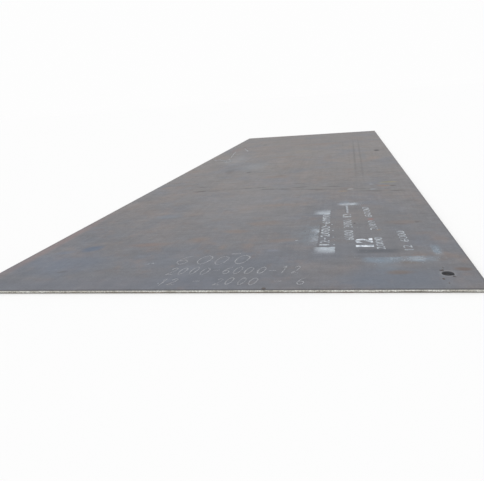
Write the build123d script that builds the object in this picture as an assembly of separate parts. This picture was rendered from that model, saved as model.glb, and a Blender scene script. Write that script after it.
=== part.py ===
from build123d import *
import os

# One hot-rolled steel plate, cut to size on a shear, with two torch-cut lifting holes.
# It lies flat. The origin is the middle of the underside: X runs across the plate, Y along
# it, away from the end with the near hole, and Z up. All sizes are in millimetres.

# The plate
plate_width = 2000.0
plate_length = 6000.0
plate_thickness = 12.0

# The sheared edge, the same on all four sides. The blade comes from above. It first drags the
# top skin down in a rollover, then cuts an upright burnished band, and what is left tears away
# and leans in towards the underside.
rollover_reach = 1.8
rollover_depth = 0.8
burnished_height = 6.4
tear_setback = 1.0

# The lifting holes, cut with a torch beside the +X side. The two distances of each are taken
# from that side and from the -Y end to the hole's centre.
near_hole_diameter = 42.0
near_hole_from_side = 110.0
near_hole_from_end = 141.0
far_hole_diameter = 50.0
far_hole_from_side = 127.0
far_hole_from_end = 3665.0

# The flame rounds the upper rim of a hole, and leaves a nick in the wall where it first
# burnt through. The heading is the nick's direction from the hole's centre, in degrees from +X.
melted_rim_radius = 0.8
pierce_diameter = 9.0
pierce_heading = -40.0


def sheared_section(span: float) -> Sketch:
    """The plate's cross-section over one span, with the sheared edge at both ends."""
    edge = span / 2
    shoulder = plate_thickness - rollover_depth
    tear_top = shoulder - burnished_height
    wall = Polyline(
        (0, 0),
        (edge - tear_setback, 0),
        (edge, tear_top),
        (edge, shoulder),
    )
    rollover = EllipticalCenterArc(
        center=(edge - rollover_reach, shoulder),
        x_radius=rollover_reach,
        y_radius=rollover_depth,
        start_angle=0,
        arc_size=90,
    )
    top = Line((edge - rollover_reach, plate_thickness), (0, plate_thickness))
    half_outline = wall + rollover + top
    half = make_face(half_outline + Line((0, plate_thickness), (0, 0)))
    return half + mirror(half, about=Plane.YZ)


def sheared_plate() -> Part:
    """The plate before its holes: what the sections across and along it have in common."""
    across = extrude(Plane.XZ * sheared_section(plate_width), amount=plate_length, both=True)
    along = extrude(Plane.YZ * sheared_section(plate_length), amount=plate_width, both=True)
    return across & along


def torch_cut(diameter: float, from_side: float, from_end: float) -> Part:
    """The steel that the torch takes out of one lifting hole, with its piercing nick."""
    centre = Location((plate_width / 2 - from_side, from_end - plate_length / 2, 0))
    nick = PolarLocations(diameter / 2, 1, start_angle=pierce_heading)
    outline = Circle(diameter / 2) + nick * Circle(pierce_diameter / 2)
    return centre * extrude(outline, amount=plate_thickness)


def rounded_rims(plate: Part) -> Part:
    """The plate with the upper rim of each hole rounded by the flame."""
    top_face = plate.faces().sort_by(Axis.Z)[-1]
    rims = ShapeList(edge for wire in top_face.inner_wires() for edge in wire.edges())
    return fillet(rims, melted_rim_radius)


plate = sheared_plate()
plate -= torch_cut(near_hole_diameter, near_hole_from_side, near_hole_from_end)
plate -= torch_cut(far_hole_diameter, far_hole_from_side, far_hole_from_end)
plate = rounded_rims(plate)

os.makedirs("parts", exist_ok=True)
export_step(plate, "parts/steel_plate.step")
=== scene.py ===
"""A hot-rolled steel plate: mill scale, sheared edges, torch-cut lifting holes, paint and chalk.

The plate lies flat in the CAD frame, in metres. X runs across it, Y along it, away from the
near end, and Z up. Marks on the top face are placed by their distance from the plate's centre
line and from its near end.
"""

import logging
import math
import random
from dataclasses import dataclass, field
from enum import Enum
from functools import cached_property
from typing import Callable, Iterable, Union

import bmesh
import bpy
from mathutils import Matrix, Vector, noise
from mathutils.geometry import delaunay_2d_cdt, interpolate_bezier

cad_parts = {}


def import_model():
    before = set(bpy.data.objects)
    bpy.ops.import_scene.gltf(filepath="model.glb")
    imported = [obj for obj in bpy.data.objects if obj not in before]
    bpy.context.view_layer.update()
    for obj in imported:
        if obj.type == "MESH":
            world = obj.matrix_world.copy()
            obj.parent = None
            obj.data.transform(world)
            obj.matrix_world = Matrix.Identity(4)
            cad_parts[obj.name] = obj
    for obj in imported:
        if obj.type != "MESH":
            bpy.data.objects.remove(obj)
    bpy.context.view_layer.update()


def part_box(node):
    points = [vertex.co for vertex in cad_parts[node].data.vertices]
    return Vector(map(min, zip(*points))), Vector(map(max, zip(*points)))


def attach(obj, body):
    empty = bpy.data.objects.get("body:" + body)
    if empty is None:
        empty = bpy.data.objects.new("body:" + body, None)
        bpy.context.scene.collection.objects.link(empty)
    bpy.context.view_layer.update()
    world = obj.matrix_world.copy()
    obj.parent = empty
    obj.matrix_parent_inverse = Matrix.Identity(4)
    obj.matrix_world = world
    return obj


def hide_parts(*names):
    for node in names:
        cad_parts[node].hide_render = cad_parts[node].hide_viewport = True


LOG = logging.getLogger("steel_plate")
PLATE_NODE = "steel_plate"
BODY = "root"
# Without a seed, Blender's vector noise would differ from run to run
NOISE_SEED = 11

Colour = tuple[float, float, float, float]
Spot = tuple[float, float]
Triple = tuple[float, float, float]
Face = tuple[int, ...]
Socket = bpy.types.NodeSocket
Input = Union[Socket, float, Colour, Triple]

# The turns, in degrees, at which a rounded rim is cut into rings, from its top down
RIM_TURNS = (90, 60, 30, 0)
# Where nearly all of a noise lies, and how its shift is shared out over the axes
NOISE_SPAN = (0.25, 0.75)
SHIFT_WAYS = (1.0, 1.7, 0.6)


@dataclass(frozen=True)
class PlateSizes:
    """The plate's sizes in metres: its box as the frame has it, its details as its source does.

    A hole's two distances run from the right side and from the near end to its centre.
    """

    rollover_reach: float = 0.0018
    rollover_depth: float = 0.0008
    burnished_height: float = 0.0064
    tear_setback: float = 0.001
    near_radius: float = 0.021
    near_from_side: float = 0.11
    near_from_end: float = 0.141
    far_radius: float = 0.025
    far_from_side: float = 0.127
    far_from_end: float = 3.665
    rim_radius: float = 0.0008
    pierce_radius: float = 0.0045
    pierce_heading: float = -40.0

    @cached_property
    def spans(self) -> Triple:
        """The plate's size along X, Y and Z in the frame, to the micrometre."""
        low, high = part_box(PLATE_NODE)
        return tuple(round(span, 6) for span in high - low)

    @property
    def width(self) -> float:
        """The plate's size across."""
        return self.spans[0]

    @property
    def length(self) -> float:
        """The plate's size from the near end to the far one."""
        return self.spans[1]

    @property
    def thickness(self) -> float:
        """The plate's thickness, which is also the height of its top face."""
        return self.spans[2]

    @property
    def near_end(self) -> float:
        """Where the near end lies on Y."""
        return -self.length / 2

    @property
    def near_hole(self) -> Spot:
        """The centre of the near hole."""
        return (self.width / 2 - self.near_from_side, self.near_end + self.near_from_end)

    @property
    def far_hole(self) -> Spot:
        """The centre of the far hole."""
        return (self.width / 2 - self.far_from_side, self.near_end + self.far_from_end)

    @property
    def shoulder(self) -> float:
        """The height where the rollover and the hole's rim meet their upright walls."""
        return self.thickness - self.rollover_depth

    @property
    def tear_line(self) -> float:
        """The mean height where the burnished band ends and the torn one begins."""
        return self.shoulder - self.burnished_height


PLATE = PlateSizes()


def shade(red: float, green: float, blue: float) -> Colour:
    """Turns a colour as the eye names it into the shader's linear values.

    Args:
        red: The red part, 0 to 255.
        green: The green part, 0 to 255.
        blue: The blue part, 0 to 255.

    Returns:
        The linear colour with a full alpha.
    """
    parts = (part / 255 for part in (red, green, blue))
    linear = [p / 12.92 if p <= 0.04045 else ((p + 0.055) / 1.055) ** 2.4 for p in parts]
    return (linear[0], linear[1], linear[2], 1.0)


@dataclass(frozen=True)
class Grain:
    """Cloudy noise: its features per metre, how many finer layers it has and how strong they are.

    The shift keeps it unlike the others, and the stretch makes it finer along an axis.
    """

    scale: float
    detail: float
    rough: float
    shift: float = 0.0
    stretch: Triple = (1.0, 1.0, 1.0)


class Recipe:
    """A material's node tree, with short calls for the nodes that the finishes share."""

    def __init__(self, name: str) -> None:
        """Starts a material with the plain shader and the plate's own coordinates.

        Args:
            name: Its name.
        """
        self.material = bpy.data.materials.new(name)
        self.material.use_nodes = True
        self.tree = self.material.node_tree
        self.shader = next(n for n in self.tree.nodes if n.type == "BSDF_PRINCIPLED")
        self.place = self.tree.nodes.new("ShaderNodeTexCoord").outputs["Object"]

    def fill(self, socket: Socket, value: Input) -> None:
        """Gives a socket a plain value, or a link.

        Args:
            socket: The socket to fill.
            value: The plain value, or the socket to link it to.
        """
        if isinstance(value, bpy.types.NodeSocket):
            self.tree.links.new(value, socket)
        else:
            socket.default_value = value

    def node(self, kind: str, inputs: dict, **settings: object) -> bpy.types.Node:
        """Adds one node.

        Args:
            kind: The node's type.
            inputs: What each input holds, by name or number: a socket or a plain value.
            **settings: The node's own properties.

        Returns:
            The new node.
        """
        made = self.tree.nodes.new(kind)
        for key, value in settings.items():
            setattr(made, key, value)
        for key, value in inputs.items():
            self.fill(made.inputs[key], value)
        return made

    def maths(self, operation: str, *parts: Input) -> Socket:
        """One step of arithmetic on numbers."""
        return self.node("ShaderNodeMath", dict(enumerate(parts)), operation=operation).outputs[0]

    def vectors(self, operation: str, *parts: Input) -> bpy.types.Node:
        """One step of arithmetic on vectors."""
        return self.node("ShaderNodeVectorMath", dict(enumerate(parts)), operation=operation)

    def cloud(self, place: Socket, grain: Grain) -> bpy.types.Node:
        """Cloudy noise, read at a place that holds its shift and stretch."""
        inputs = {"Vector": place, "Scale": grain.scale, "Detail": grain.detail, "Roughness": grain.rough}
        return self.node("ShaderNodeTexNoise", inputs)

    def noise(self, grain: Grain) -> Socket:
        """Cloudy noise over the plate.

        Args:
            grain: What it is like.

        Returns:
            The noise, mostly between 0.3 and 0.7.
        """
        shift = tuple(grain.shift * way for way in SHIFT_WAYS)
        moved = self.vectors("MULTIPLY_ADD", self.place, grain.stretch, shift)
        return self.cloud(moved.outputs[0], grain).outputs["Fac"]

    def band(self, value: Socket, low: float, high: float, to: Spot = (0.0, 1.0)) -> Socket:
        """Turns a value into a soft step.

        Args:
            value: The value to read.
            low: Where the step begins.
            high: Where the step ends. It may lie below the other one.
            to: What the step goes from and to.

        Returns:
            The stepped value.
        """
        inputs = {"Value": value, "From Min": low, "From Max": high, "To Min": to[0], "To Max": to[1]}
        made = self.node("ShaderNodeMapRange", inputs, interpolation_type="SMOOTHSTEP")
        return made.outputs["Result"]

    def mix(self, share: Input, under: Input, over: Input) -> Socket:
        """Lays one colour over another, by the share of the upper one that shows."""
        inputs = {0: share, 6: under, 7: over}
        return self.node("ShaderNodeMix", inputs, data_type="RGBA", blend_type="MIX").outputs[2]

    def cover(
        self, colour: Input, over: Colour, value: Socket, limits: Spot, strength: float = 1.0
    ) -> Socket:
        """Lays a second colour over a first where a noise is high.

        Args:
            colour: The first colour.
            over: The second colour.
            value: The noise.
            limits: Where the second colour begins to show, and where it shows most.
            strength: How much of it shows there.

        Returns:
            The mixed colour.
        """
        return self.mix(self.band(value, *limits, to=(0.0, strength)), colour, over)

    def dims(self, colour: Socket, value: Socket, low: float, high: float) -> Socket:
        """Darkens and lightens a colour by a noise.

        Args:
            colour: The colour to change.
            value: The noise, around 0.5.
            low: The gain where the noise is low.
            high: The gain where the noise is high.

        Returns:
            The changed colour.
        """
        inputs = {"Value": value, "To Min": low, "To Max": high}
        inputs["From Min"], inputs["From Max"] = NOISE_SPAN
        gain = self.node("ShaderNodeMapRange", inputs).outputs["Result"]
        return self.node("ShaderNodeVectorMath", {0: colour, "Scale": gain}, operation="SCALE").outputs[0]

    def bump(self, height: Socket, depth: float, **under: Socket) -> Socket:
        """A relief of a real depth in metres, on top of another one given as Normal."""
        inputs = {"Strength": 1.0, "Distance": depth, "Height": height, **under}
        return self.node("ShaderNodeBump", inputs).outputs["Normal"]

    def finish(self, **inputs: Input) -> bpy.types.Material:
        """Sets the shader's sockets.

        Args:
            **inputs: What each socket holds, its name with _ for spaces.

        Returns:
            The finished material.
        """
        for name, value in inputs.items():
            self.fill(self.shader.inputs[name.replace("_", " ")], value)
        return self.material


class TopFace:
    """What the marks on the top face are laid out with, inside one material."""

    WANDER = Grain(9.0, 4, 0.6)
    NIBBLE = Grain(60.0, 3, 0.6)
    SHAKE = 0.012
    PATCHES = Grain(16.0, 5, 0.65, 19.0)

    def __init__(self, recipe: Recipe) -> None:
        """Measures the face from the near end, a little unevenly, and adds the marks' noises.

        Args:
            recipe: The material of the face.
        """
        self.recipe = recipe
        self.place = recipe.vectors("ADD", recipe.place, (0.0, -PLATE.near_end, 0.0)).outputs[0]
        cloudy = recipe.cloud(recipe.place, self.WANDER).outputs["Color"]
        self.wander = recipe.vectors("SUBTRACT", cloudy, (0.5, 0.5, 0.5)).outputs[0]
        nibble = recipe.cloud(recipe.place, self.NIBBLE).outputs["Color"]
        reach, middle = ((shake, shake, 0.0) for shake in (self.SHAKE, self.SHAKE / 2))
        shaken = recipe.vectors("MULTIPLY_ADD", nibble, reach, self.place).outputs[0]
        shaken = recipe.vectors("SUBTRACT", shaken, middle).outputs[0]
        self.across, self.along, _ = recipe.node("ShaderNodeSeparateXYZ", {0: shaken}).outputs
        self.patches = recipe.noise(self.PATCHES)


@dataclass(frozen=True)
class Stain:
    """A soft-edged oval tint on the top face."""

    spot: Spot
    reach: Spot
    colour: Colour
    strength: float
    turn: float = 0.0
    soft: float = 0.7
    ragged: float = 0.5

    def lay(self, face: TopFace, colour: Socket) -> Socket:
        """Lays the tint over a colour.

        Args:
            face: The top face in its material.
            colour: The colour under it.

        Returns:
            The tinted colour.
        """
        recipe = face.recipe
        turn = math.radians(self.turn)
        long_way = Vector((math.cos(turn), math.sin(turn)))
        short_way = Vector((-long_way.y, long_way.x))
        parts = {}
        for axis, way in enumerate((long_way / self.reach[0], short_way / self.reach[1])):
            away = recipe.vectors("DOT_PRODUCT", face.place, (way.x, way.y, 0.0)).outputs["Value"]
            parts[axis] = recipe.maths("SUBTRACT", away, way.dot(Vector(self.spot)))
        local = recipe.node("ShaderNodeCombineXYZ", parts).outputs[0]
        ragged = (self.ragged, self.ragged, 0.0)
        local = recipe.vectors("MULTIPLY_ADD", face.wander, ragged, local).outputs[0]
        away = recipe.vectors("LENGTH", local).outputs["Value"]
        return recipe.mix(recipe.band(away, 1 - self.soft, 1.0, (self.strength, 0.0)), colour, self.colour)


@dataclass(frozen=True)
class SprayPatch:
    """Thin spray or grime on the top face, with a hard or a soft limit on each side.

    Each limit runs from where the patch is nought to where it is full: left and right across
    the plate, near and far from its near end.
    """

    left: Spot
    right: Spot
    near: Spot
    far: Spot
    colour: Colour
    strength: float
    lean: float = 0.0
    patchy: float = 0.4
    thinning: Spot = (0.36, 0.60)

    def lay(self, face: TopFace, colour: Socket) -> Socket:
        """Lays the patch over a colour.

        Args:
            face: The top face in its material.
            colour: The colour under it.

        Returns:
            The colour with the patch.
        """
        recipe, across, along = face.recipe, face.across, face.along
        if self.lean:
            middle = (self.near[1] + self.far[1]) / 2
            shift = recipe.maths("MULTIPLY", recipe.maths("SUBTRACT", along, middle), self.lean)
            across = recipe.maths("SUBTRACT", across, shift)
        thinnest = self.strength * (1 - self.patchy)
        share = recipe.band(face.patches, *self.thinning, to=(thinnest, self.strength))
        values = (across, across, along, along)
        for value, limits in zip(values, (self.left, self.right, self.near, self.far)):
            share = recipe.maths("MULTIPLY", share, recipe.band(value, *limits))
        return recipe.mix(share, colour, self.colour)


@dataclass(frozen=True)
class MillScale:
    """The blue-grey oxide skin that hot rolling leaves, with rust bloom, scuffs, stains and painted shade
    beside the edges.
    """

    name: str
    near_colour: Colour
    far_colour: Colour
    rust: float
    marks: tuple[Union[Stain, SprayPatch], ...] = ()
    turn_over: Spot = (-0.6, 3.4)
    cool: Colour = shade(106, 113, 125)
    warm: Colour = shade(132, 122, 117)
    bloom: Colour = shade(136, 116, 104)
    # Painted shade: the colour of the dark strip on the skin beside each sheared edge
    worn: Colour = shade(86, 86, 88)
    roughness: Spot = (0.62, 0.78)
    rim_wander: float = 0.012
    flake_depth: float = 0.0005
    speckle_depth: float = 0.00012

    def make(self) -> bpy.types.Material:
        """Builds the material.

        Returns:
            The finished material.
        """
        recipe = Recipe(self.name)
        place = recipe.node("ShaderNodeSeparateXYZ", {0: recipe.place}).outputs
        lengthwise = recipe.band(place[1], *(PLATE.near_end + along for along in self.turn_over))
        colour = recipe.mix(lengthwise, self.near_colour, self.far_colour)
        for over, grain, limits, strength in (
            (self.cool, Grain(2.1, 4, 0.6, 3.1), (0.44, 0.66), 0.36),
            (self.warm, Grain(2.6, 5, 0.65, 11.7), (0.44, 0.70), 0.42),
            (self.bloom, Grain(7.5, 5, 0.64, 23.9), (0.53, 0.72), self.rust),
        ):
            colour = recipe.cover(colour, over, recipe.noise(grain), limits, strength)
        # Broad tones, mottle, the rolls' long streaks, scuffs across them, and last the speckle
        for depth, grain in (
            (0.07, Grain(5.0, 4, 0.6, 17.4)),
            (0.08, Grain(15.0, 4, 0.6, 5.3)),
            (0.04, Grain(1.0, 3, 0.55, 8.8, stretch=(55.0, 0.7, 1.0))),
            (0.08, Grain(1.0, 4, 0.65, 2.2, stretch=(6.0, 34.0, 1.0))),
            (0.14, Grain(150.0, 3, 0.7, 14.6)),
        ):
            speckle = recipe.noise(grain)
            colour = recipe.dims(colour, speckle, 1 - depth, 1 + depth)
        if self.marks:
            face = TopFace(recipe)
            for mark in self.marks:
                colour = mark.lay(face, colour)
        # Painted shade: a dark strip along the edges, over the skin's colour
        colour = recipe.mix(self.painted_rim_shade(recipe, place), colour, self.worn)
        flaky = recipe.noise(Grain(38.0, 6, 0.7, 31.0))
        rough = recipe.band(flaky, 0.3, 0.7, to=self.roughness)
        relief = recipe.bump(flaky, self.flake_depth, Normal=recipe.bump(speckle, self.speckle_depth))
        return recipe.finish(Base_Color=colour, Roughness=rough, Normal=relief, Specular_IOR_Level=0.2)

    def painted_rim_shade(self, recipe: Recipe, place: list[Socket]) -> Socket:
        """The dark strip of painted shade beside the sheared edge, along the rolled-over rim.

        Args:
            recipe: The material that it belongs to.
            place: The plate's coordinates.

        Returns:
            How much of the painted shade shows.
        """
        uneven = recipe.maths("MULTIPLY", recipe.noise(Grain(26.0, 4, 0.65, 40.5)), self.rim_wander)
        strips = []
        for axis, half, limits, strength in (
            (0, PLATE.width / 2, (-0.002, 0.003), 0.35),
            (1, PLATE.length / 2, (0.0, 0.007), 0.75),
        ):
            away = recipe.maths("ADD", recipe.maths("ABSOLUTE", place[axis]), uneven)
            inside = recipe.maths("SUBTRACT", half, away)
            strips.append(recipe.band(inside, *limits, to=(strength, 0.0)))
        return recipe.maths("MAXIMUM", *strips)


@dataclass(frozen=True)
class BurnishedSteel:
    """The bright band that the shear blade rubs, scored from top to bottom."""

    name: str = "burnished_steel"
    bright: Colour = shade(195, 195, 190)
    dull: Colour = shade(171, 169, 161)
    rust: Colour = shade(118, 98, 80)
    patches: Grain = Grain(22.0, 5, 0.65, 4.4)
    scores: Grain = Grain(1.0, 3, 0.7, 9.1, stretch=(520.0, 520.0, 30.0))
    sparkle: Grain = Grain(150.0, 2, 0.7, 33.0)
    specks: Grain = Grain(75.0, 5, 0.7, 17.3)
    score_depth: float = 0.0003

    def make(self) -> bpy.types.Material:
        """Builds the material.

        Returns:
            The finished material.
        """
        recipe = Recipe(self.name)
        patches = recipe.noise(self.patches)
        colour = recipe.cover(self.bright, self.dull, patches, (0.4, 0.62))
        scores = recipe.noise(self.scores)
        colour = recipe.dims(colour, scores, 0.84, 1.14)
        sparkle = recipe.band(recipe.noise(self.sparkle), 0.4, 0.6)
        colour = recipe.dims(colour, sparkle, 0.76, 1.2)
        colour = recipe.cover(colour, self.rust, recipe.noise(self.specks), (0.62, 0.74), 0.45)
        relief = recipe.bump(scores, self.score_depth)
        rough = recipe.band(patches, 0.3, 0.7, to=(0.38, 0.6))
        return recipe.finish(Base_Color=colour, Roughness=rough, Normal=relief, Metallic=0.3)


@dataclass(frozen=True)
class TornSteel:
    """The grainy band where the steel tore away under the blade, already browning."""

    name: str = "torn_steel"
    grain: Colour = shade(118, 114, 106)
    rust: Colour = shade(112, 92, 78)
    dark: Colour = shade(72, 69, 65)
    patches: Grain = Grain(30.0, 5, 0.65, 6.6)
    tears: Grain = Grain(420.0, 4, 0.75, 12.0)
    tear_depth: float = 0.0008

    def make(self) -> bpy.types.Material:
        """Builds the material.

        Returns:
            The finished material.
        """
        recipe = Recipe(self.name)
        colour = recipe.cover(self.grain, self.rust, recipe.noise(self.patches), (0.46, 0.66), 0.7)
        tears = recipe.noise(self.tears)
        colour = recipe.mix(recipe.band(tears, 0.3, 0.55, to=(0.8, 0.0)), colour, self.dark)
        relief = recipe.bump(tears, self.tear_depth)
        return recipe.finish(Base_Color=colour, Roughness=0.82, Normal=relief)


@dataclass(frozen=True)
class TorchCutSteel:
    """The dark, rippled wall that the cutting flame leaves in a hole."""

    name: str = "torch_cut_steel"
    scale: Colour = shade(86, 87, 91)
    rust: Colour = shade(102, 90, 82)
    patches: Grain = Grain(90.0, 4, 0.6, 2.7)
    grain: Grain = Grain(900.0, 3, 0.7, 7.9)
    grain_depth: float = 0.0003

    def make(self) -> bpy.types.Material:
        """Builds the material.

        Returns:
            The finished material.
        """
        recipe = Recipe(self.name)
        colour = recipe.cover(self.scale, self.rust, recipe.noise(self.patches), (0.5, 0.68), 0.7)
        grain = recipe.noise(self.grain)
        colour = recipe.dims(colour, grain, 0.8, 1.2)
        relief = recipe.bump(grain, self.grain_depth)
        return recipe.finish(Base_Color=colour, Roughness=0.6, Normal=relief)


@dataclass(frozen=True)
class MarkingPaint:
    """Sprayed marking paint, thin in places, so that the scale shows through it."""

    name: str
    paint: Colour
    thin: Colour
    cover: Spot = (0.42, 0.6)
    patches: Grain = Grain(34.0, 6, 0.72, 3.9)
    grain: Grain = Grain(260.0, 3, 0.7, 1.3)
    grain_depth: float = 0.0001

    def make(self) -> bpy.types.Material:
        """Builds the material.

        Returns:
            The finished material.
        """
        recipe = Recipe(self.name)
        colour = recipe.cover(self.paint, self.thin, recipe.noise(self.patches), self.cover)
        grain = recipe.noise(self.grain)
        colour = recipe.dims(colour, grain, 0.93, 1.07)
        relief = recipe.bump(grain, self.grain_depth)
        return recipe.finish(Base_Color=colour, Roughness=0.7, Normal=relief, Specular_IOR_Level=0.25)


@dataclass(frozen=True)
class SlagScale:
    """The black glassy oxide of small drops that the flame spat out."""

    name: str = "slag_drops"
    black: Colour = shade(58, 58, 62)
    rust: Colour = shade(92, 80, 72)
    patches: Grain = Grain(240.0, 4, 0.65, 5.2)
    crust_depth: float = 0.0004

    def make(self) -> bpy.types.Material:
        """Builds the material.

        Returns:
            The finished material.
        """
        recipe = Recipe(self.name)
        patches = recipe.noise(self.patches)
        colour = recipe.cover(self.black, self.rust, patches, (0.4, 0.65))
        relief = recipe.bump(patches, self.crust_depth)
        return recipe.finish(Base_Color=colour, Roughness=0.5, Normal=relief)


class Side(Enum):
    """A side of the plate: the way it runs, anticlockwise from above, and the way out."""

    NEAR = ((1, 0), (0, -1))
    RIGHT = ((0, 1), (1, 0))
    FAR = ((-1, 0), (0, 1))
    LEFT = ((0, -1), (-1, 0))

    @property
    def ways(self) -> tuple[Vector, Vector]:
        """The way along the side and the way out, as vectors."""
        return (Vector(self.value[0]), Vector(self.value[1]))

    @property
    def half_spans(self) -> Spot:
        """Half the plate's size along this side, and half its size at right angles to it."""
        halves = (PLATE.width / 2, PLATE.length / 2)
        return halves if self in (Side.NEAR, Side.FAR) else (halves[1], halves[0])


class Zone(Enum):
    """A part of the plate's skin, with the number of its material."""

    TOP = 0
    UNDERSIDE = 1
    ROLLOVER = 2
    BURNISHED = 3
    TORN = 4
    TORCH_CUT = 5


@dataclass(frozen=True)
class Station:
    """One upright line round the plate's edge. It is calm close to the corners."""

    side: Side
    run: float
    calm_reach: float = 0.015
    layer_pitch: float = 7.3

    @property
    def calm(self) -> float:
        """How much of the relief shows here: none at a corner."""
        return min(1.0, (1 - abs(self.run)) * self.side.half_spans[0] / self.calm_reach)

    def at(self, inset: float, height: float) -> Vector:
        """A point beside this station.

        Args:
            inset: How far it lies inside the plate's outline.
            height: Its height.

        Returns:
            The point.
        """
        (along, out), (half_along, half_out) = self.side.ways, self.side.half_spans
        spot = along * self.run * (half_along - inset) + out * (half_out - inset)
        return Vector((spot.x, spot.y, height))

    def rough(self, scale: float, layer: float) -> float:
        """Noise between about -1 and 1 at this station, the same on every run."""
        spot = self.at(0.0, 0.0)
        return noise.noise(Vector((spot.x * scale, spot.y * scale, layer * self.layer_pitch)))


def turn_of(first: Vector, second: Vector, third: Vector) -> float:
    """Twice the area of a flat triangle, above nought where it runs anticlockwise."""
    return (second - first).cross(third - first)


class Shell:
    """The faces of one mesh, gathered before it is made."""

    ON_LINE = 1e-6
    MERGED = 1e-8

    def __init__(self) -> None:
        """Starts with no faces."""
        self.points: list[Vector] = []
        self.faces: list[Face] = []
        self.zones: list[Zone] = []

    def ring(self, points: Iterable[Vector]) -> list[int]:
        """Adds points.

        Args:
            points: The points.

        Returns:
            Their numbers.
        """
        start = len(self.points)
        self.points.extend(points)
        return list(range(start, len(self.points)))

    def face(self, numbers: Iterable[int], zone: Zone) -> None:
        """Adds one face."""
        self.faces.append(tuple(numbers))
        self.zones.append(zone)

    def strips(self, rings: list[list[int]], zone: Zone) -> None:
        """Closes the bands between rings of equal count with faces that look outwards.

        Args:
            rings: The numbers of each ring's points, from the upper ring down.
            zone: The faces' zone.
        """
        for upper, lower in zip(rings, rings[1:]):
            for here in range(len(upper)):
                ahead = (here + 1) % len(upper)
                self.face((upper[here], lower[here], lower[ahead], upper[ahead]), zone)

    def pave(self, outline: list[int], holes: list[list[int]], spread: float, zone: Zone) -> None:
        """Fills a flat outline with triangles, split at half its length.

        Args:
            outline: The numbers of the outer points, anticlockwise from above.
            holes: The numbers of the points round each hole, clockwise from above.
            spread: How far apart the points inside are.
            zone: TOP looks up, and UNDERSIDE looks down.
        """
        loops = [outline, *holes]
        known = [number for loop in loops for number in loop]
        height = self.points[known[0]].z
        edges: list[tuple[int, int]] = []
        for loop in loops:
            start = len(edges)
            edges += [(start + n, start + (n + 1) % len(loop)) for n in range(len(loop))]
        middle = [n for n, number in enumerate(outline) if abs(self.points[number].y) < self.ON_LINE]
        edges.append((middle[0], middle[-1]))
        spots = [self.points[number].xy for number in known]
        centres = [sum((self.points[n].xy for n in loop), Vector((0, 0))) / len(loop) for loop in holes]
        spots += self.inner_points(spots, centres, spread)
        flat, _, triangles, origins, _, _ = delaunay_2d_cdt(spots, edges, [], 0, self.MERGED)
        numbers = []
        for spot, origin in zip(flat, origins):
            if origin and origin[0] < len(known):
                numbers.append(known[origin[0]])
            else:
                numbers += self.ring([Vector((spot.x, spot.y, height))])
        places = [{number: place for place, number in enumerate(loop)} for loop in loops]
        for triangle in triangles:
            corners = [numbers[n] for n in triangle]
            if any(self.beyond(corners, loop) for loop in places):
                continue
            if (turn_of(*(flat[n] for n in triangle)) < 0) == (zone is Zone.TOP):
                corners.reverse()
            self.face(corners, zone)

    @staticmethod
    def inner_points(
        rim: list[Vector], centres: list[Vector], spread: float, clear: float = 0.05
    ) -> list[Vector]:
        """The points of an even grid inside the outline.

        Args:
            rim: The outline's points.
            centres: The middles of the holes.
            spread: How far apart the points are.
            clear: How far they stay from the middle of a hole.

        Returns:
            The points, row by row.
        """
        edge = Vector((max(spot.x for spot in rim), max(spot.y for spot in rim)))
        across, along = round(edge.x / spread), round(edge.y / spread)
        spots = []
        for row in range(-along + 1, along):
            for column in range(-across + 1, across):
                spot = Vector((column * edge.x / across, row * edge.y / along))
                if all((spot - centre).length > clear for centre in centres):
                    spots.append(spot)
        return spots

    def beyond(self, corners: list[int], loop: dict[int, int]) -> bool:
        """Tells whether a triangle lies outside of the steel, in a hole or past the outline.

        Args:
            corners: The numbers of its corners.
            loop: The place of each point of one loop. The steel lies to the left of the loop.

        Returns:
            True if it isn't steel.
        """
        if not all(number in loop for number in corners):
            return False
        return turn_of(*(self.points[n].xy for n in sorted(corners, key=loop.get))) <= 0

    def mesh(self, name: str) -> bpy.types.Mesh:
        """Makes the mesh, with each face's material number.

        Args:
            name: Its name.

        Returns:
            The mesh.
        """
        made = bpy.data.meshes.new(name)
        made.from_pydata(self.points, [], self.faces)
        made.polygons.foreach_set("material_index", [zone.value for zone in self.zones])
        made.update()
        return made


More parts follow.
